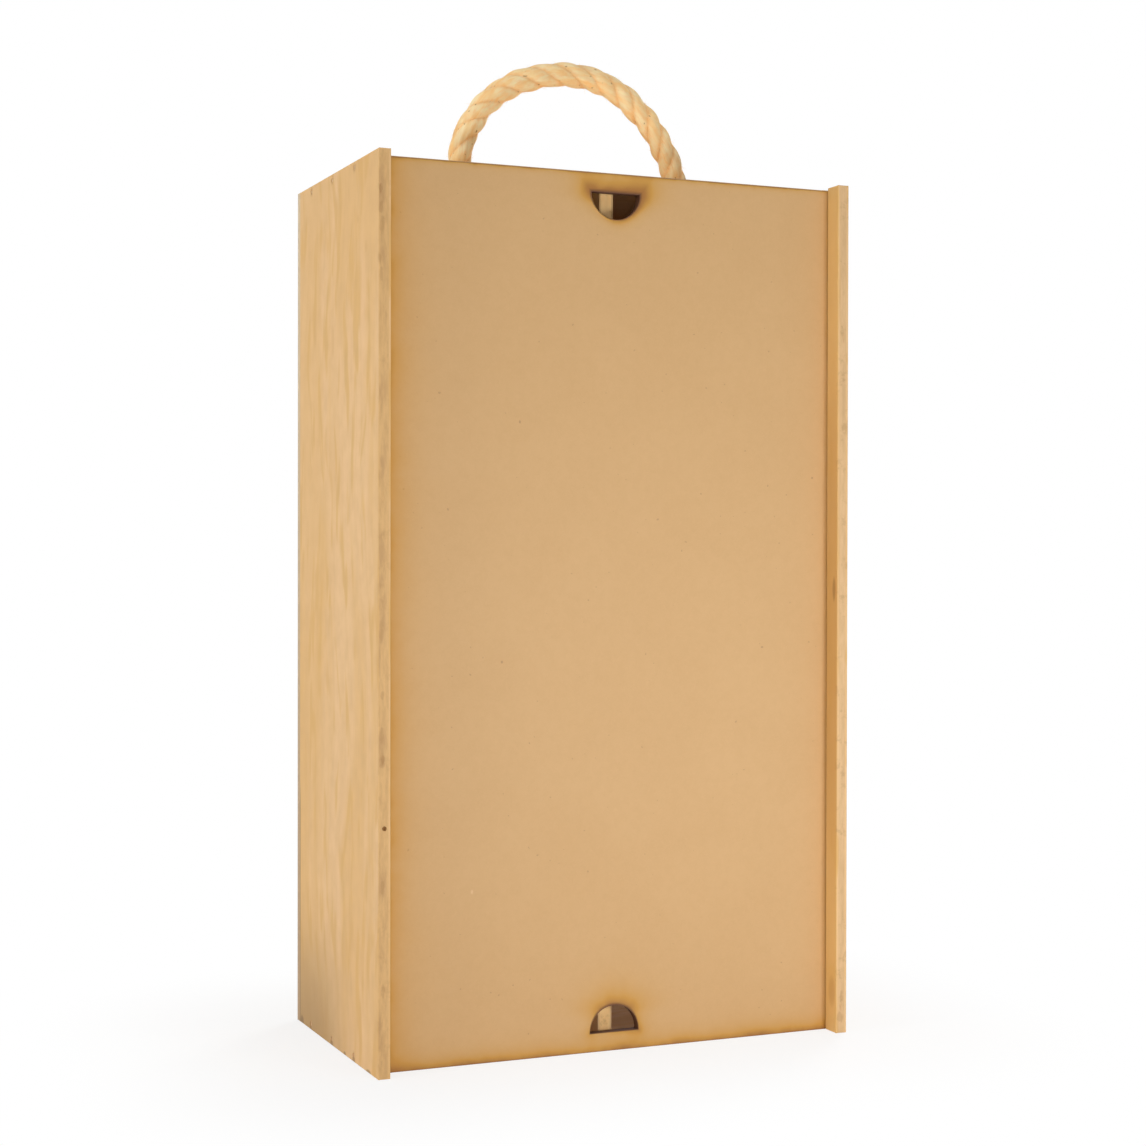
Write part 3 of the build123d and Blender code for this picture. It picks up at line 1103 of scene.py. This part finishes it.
hemp = dict(
    light=(255, 234, 186),
    base=(255, 218, 156),
    warm=(255, 192, 112),
    dark=(250, 180, 104),
    fleck=(140, 96, 52),
    # painted shade colour for the creases between strands
    creaseShade=(250, 178, 100),
    surface={"Roughness": 0.85, "Sheen Weight": 0.05, "Specular IOR Level": 0.25},
    bump=(0.5, 0.0002),
)


# Colour runs along each yarn: the map holds the way along in metres and the yarn's number
def ropeMaterial(look=hemp):
    material, tree, shader = startMaterial("laid hemp")
    uv = put(tree, "ShaderNodeUVMap", {}, uv_map="yarnMap").outputs[0]
    parts = put(tree, "ShaderNodeSeparateXYZ", {0: uv}).outputs

    def yarnNoise(along, across, layer, detail, roughness):
        place = triple(tree, times(tree, parts[0], along), times(tree, parts[1], across), layer)
        return noise(tree, place, 1.0, detail, roughness)

    hair = yarnNoise(260, 4.5, 0.0, 4, 0.7)
    wide = yarnNoise(90, 1.0, 3.0, 2, 0.5)
    tuft = yarnNoise(170, 0.8, 5.0, 3, 0.55)
    body = tint(tree, between(tree, wide, 0.3, 0.7), look["light"], look["base"])
    body = tint(tree, between(tree, tuft, 0.42, 0.68, 0.0, 0.45), body, look["warm"])
    body = tint(tree, between(tree, hair, 0.45, 0.78, 0.0, 0.45), body, look["dark"])
    creaseShade = put(tree, "ShaderNodeAttribute", {}, attribute_name="creaseShade").outputs["Fac"]
    # Painted shade in the creases between strands, with a few more flecks there
    body = tint(tree, creaseShade, body, look["creaseShade"], 0.36)
    fleck = plus(tree, yarnNoise(380, 1.6, 9.0, 1, 0.5), times(tree, creaseShade, 0.06))
    body = tint(tree, between(tree, fleck, 0.71, 0.77, 0.0, 0.7), body, look["fleck"])
    finishMaterial(tree, shader, body, hair, look)
    return material


# Brads

brads = dict(steel=(216, 182, 138), dull=(192, 154, 110), rust=(168, 126, 82), metallic=0.15)


# Bright steel wire, dulled in patches with a trace of rust
def bradMaterial(look=brads):
    material, tree, shader = startMaterial("brad steel")
    vector, _ = objectPlace(tree)
    patch = noise(tree, vector, 900, 3, 0.6)
    body = tint(tree, between(tree, patch, 0.4, 0.7), look["steel"], look["dull"])
    body = tint(tree, between(tree, noise(tree, vector, 420, 2), 0.62, 0.75, 0.0, 0.6), body, look["rust"])
    tree.links.new(body, shader.inputs["Base Color"])
    tree.links.new(between(tree, patch, 0.3, 0.8, 0.3, 0.6), shader.inputs["Roughness"])
    shader.inputs["Metallic"].default_value = look["metallic"]
    return material


hempMaterial = ropeMaterial()
for piece in (ropePiece, leftKnot, rightKnot):
    paint(piece, hempMaterial)
steelMaterial = bradMaterial()
for name in ("left_side_brads", "right_side_brads", "back_brads", "divider_brads"):
    paint(nodes[name], steelMaterial)
print("materials on")


# Floor, world and lamps

studio = dict(
    floorSize=6.0,
    floorColour=(252, 252, 252),
    floorRoughness=0.9,
    fadeNear=0.0,  # distances from the box in which the floor goes over to plain white
    fadeFar=0.12,
    nearWhite=0.78,
    worldStrength=0.25,
    lamps=dict(  # place, size and watts
        overhead=((0.0, -0.2, 2.2), 1.6, 15.5),
        front=((-0.345, -0.81, 0.198), 0.12, 0.9),
        frontRight=((0.16, -0.52, 0.10), 0.13, 0.84),
        left=((-1.5, -0.2, 0.3), 0.5, 9.0),
        rear=((1.1, 1.0, 0.5), 0.6, 14.0),
    ),
    lampTarget=(0, 0, 0.17),
    # Faint lamps at the back of the bays, so that the inside isn't black behind the finger holes
    fills=dict(places=((-0.05, 0.048, 0.12), (0.05, 0.048, 0.12)), wide=0.07, tall=0.2, watts=0.02),
)


# 1 where the camera looks, straight or through a reflection, and 0 for the light that falls on things
def seenShare(tree):
    rays = tree.nodes.new("ShaderNodeLightPath").outputs
    seen = plus(tree, rays["Is Camera Ray"], rays["Is Glossy Ray"])
    return plus(tree, seen, rays["Is Transmission Ray"], True)


def makeFloor():
    half = studio["floorSize"] / 2
    corners = [(-half, -half, 0), (half, -half, 0), (half, half, 0), (-half, half, 0)]
    floor = newPiece("floor", corners, [[0, 1, 2, 3]])
    material, tree, shader = startMaterial("floor")
    shader.inputs["Base Color"].default_value = colour(studio["floorColour"])
    shader.inputs["Roughness"].default_value = studio["floorRoughness"]
    shader.inputs["Specular IOR Level"].default_value = 0.0
    _, axes = objectPlace(tree)
    beside = [larger(tree, minus(tree, absolute(tree, axes[i]), cadHigh[i]), 0.0) for i in (0, 1)]
    fade = (studio["fadeNear"], studio["fadeFar"], studio["nearWhite"], 1.0)
    far = between(tree, root(tree, squares(tree, *beside)), *fade)
    seen = seenShare(tree)
    white = put(tree, "ShaderNodeEmission", {"Color": (1, 1, 1, 1), "Strength": 1.0}).outputs[0]
    shown = {0: times(tree, far, seen), 1: shader.outputs[0], 2: white}
    mixed = put(tree, "ShaderNodeMixShader", shown)
    output = next(n for n in tree.nodes if n.type == "OUTPUT_MATERIAL")
    tree.links.new(mixed.outputs[0], output.inputs[0])
    paint(floor, material)


def makeWorld():
    world = bpy.data.worlds.new("studio")
    bpy.context.scene.world = world
    world.use_nodes = True
    tree = world.node_tree
    back = tree.nodes["Background"]
    back.inputs["Color"].default_value = (1, 1, 1, 1)
    seen = seenShare(tree)
    lit = studio["worldStrength"]
    strength = put(tree, "ShaderNodeMapRange", {"Value": seen, "To Min": lit, "To Max": 1.0}).outputs[0]
    tree.links.new(strength, back.inputs["Strength"])


# An area lamp: a disc, or a rectangle if it has a height
def makeLamp(name, place, ahead, watts, wide, tall=None):
    data = bpy.data.lights.new(name, "AREA")
    data.shape = "RECTANGLE" if tall else "DISK"
    data.size = wide
    if tall:
        data.size_y = tall
    data.energy = watts
    lamp = placed(name, data)
    lamp.location = place
    lamp.visible_camera = False
    lamp.rotation_mode = "QUATERNION"
    lamp.rotation_quaternion = ahead.to_track_quat("-Z", "Y")


makeFloor()
makeWorld()
for lampName, (place, size, watts) in studio["lamps"].items():
    makeLamp(lampName, place, Vector(studio["lampTarget"]) - Vector(place), watts, size)
fills = studio["fills"]
for number, place in enumerate(fills["places"]):
    size = (fills["wide"], fills["tall"])
    makeLamp("bay fill " + str(number), place, Vector((0, -1, 0)), fills["watts"], *size)
bpy.context.scene.view_settings.view_transform = "Standard"
print("studio lit")

bpy.context.view_layer.update()
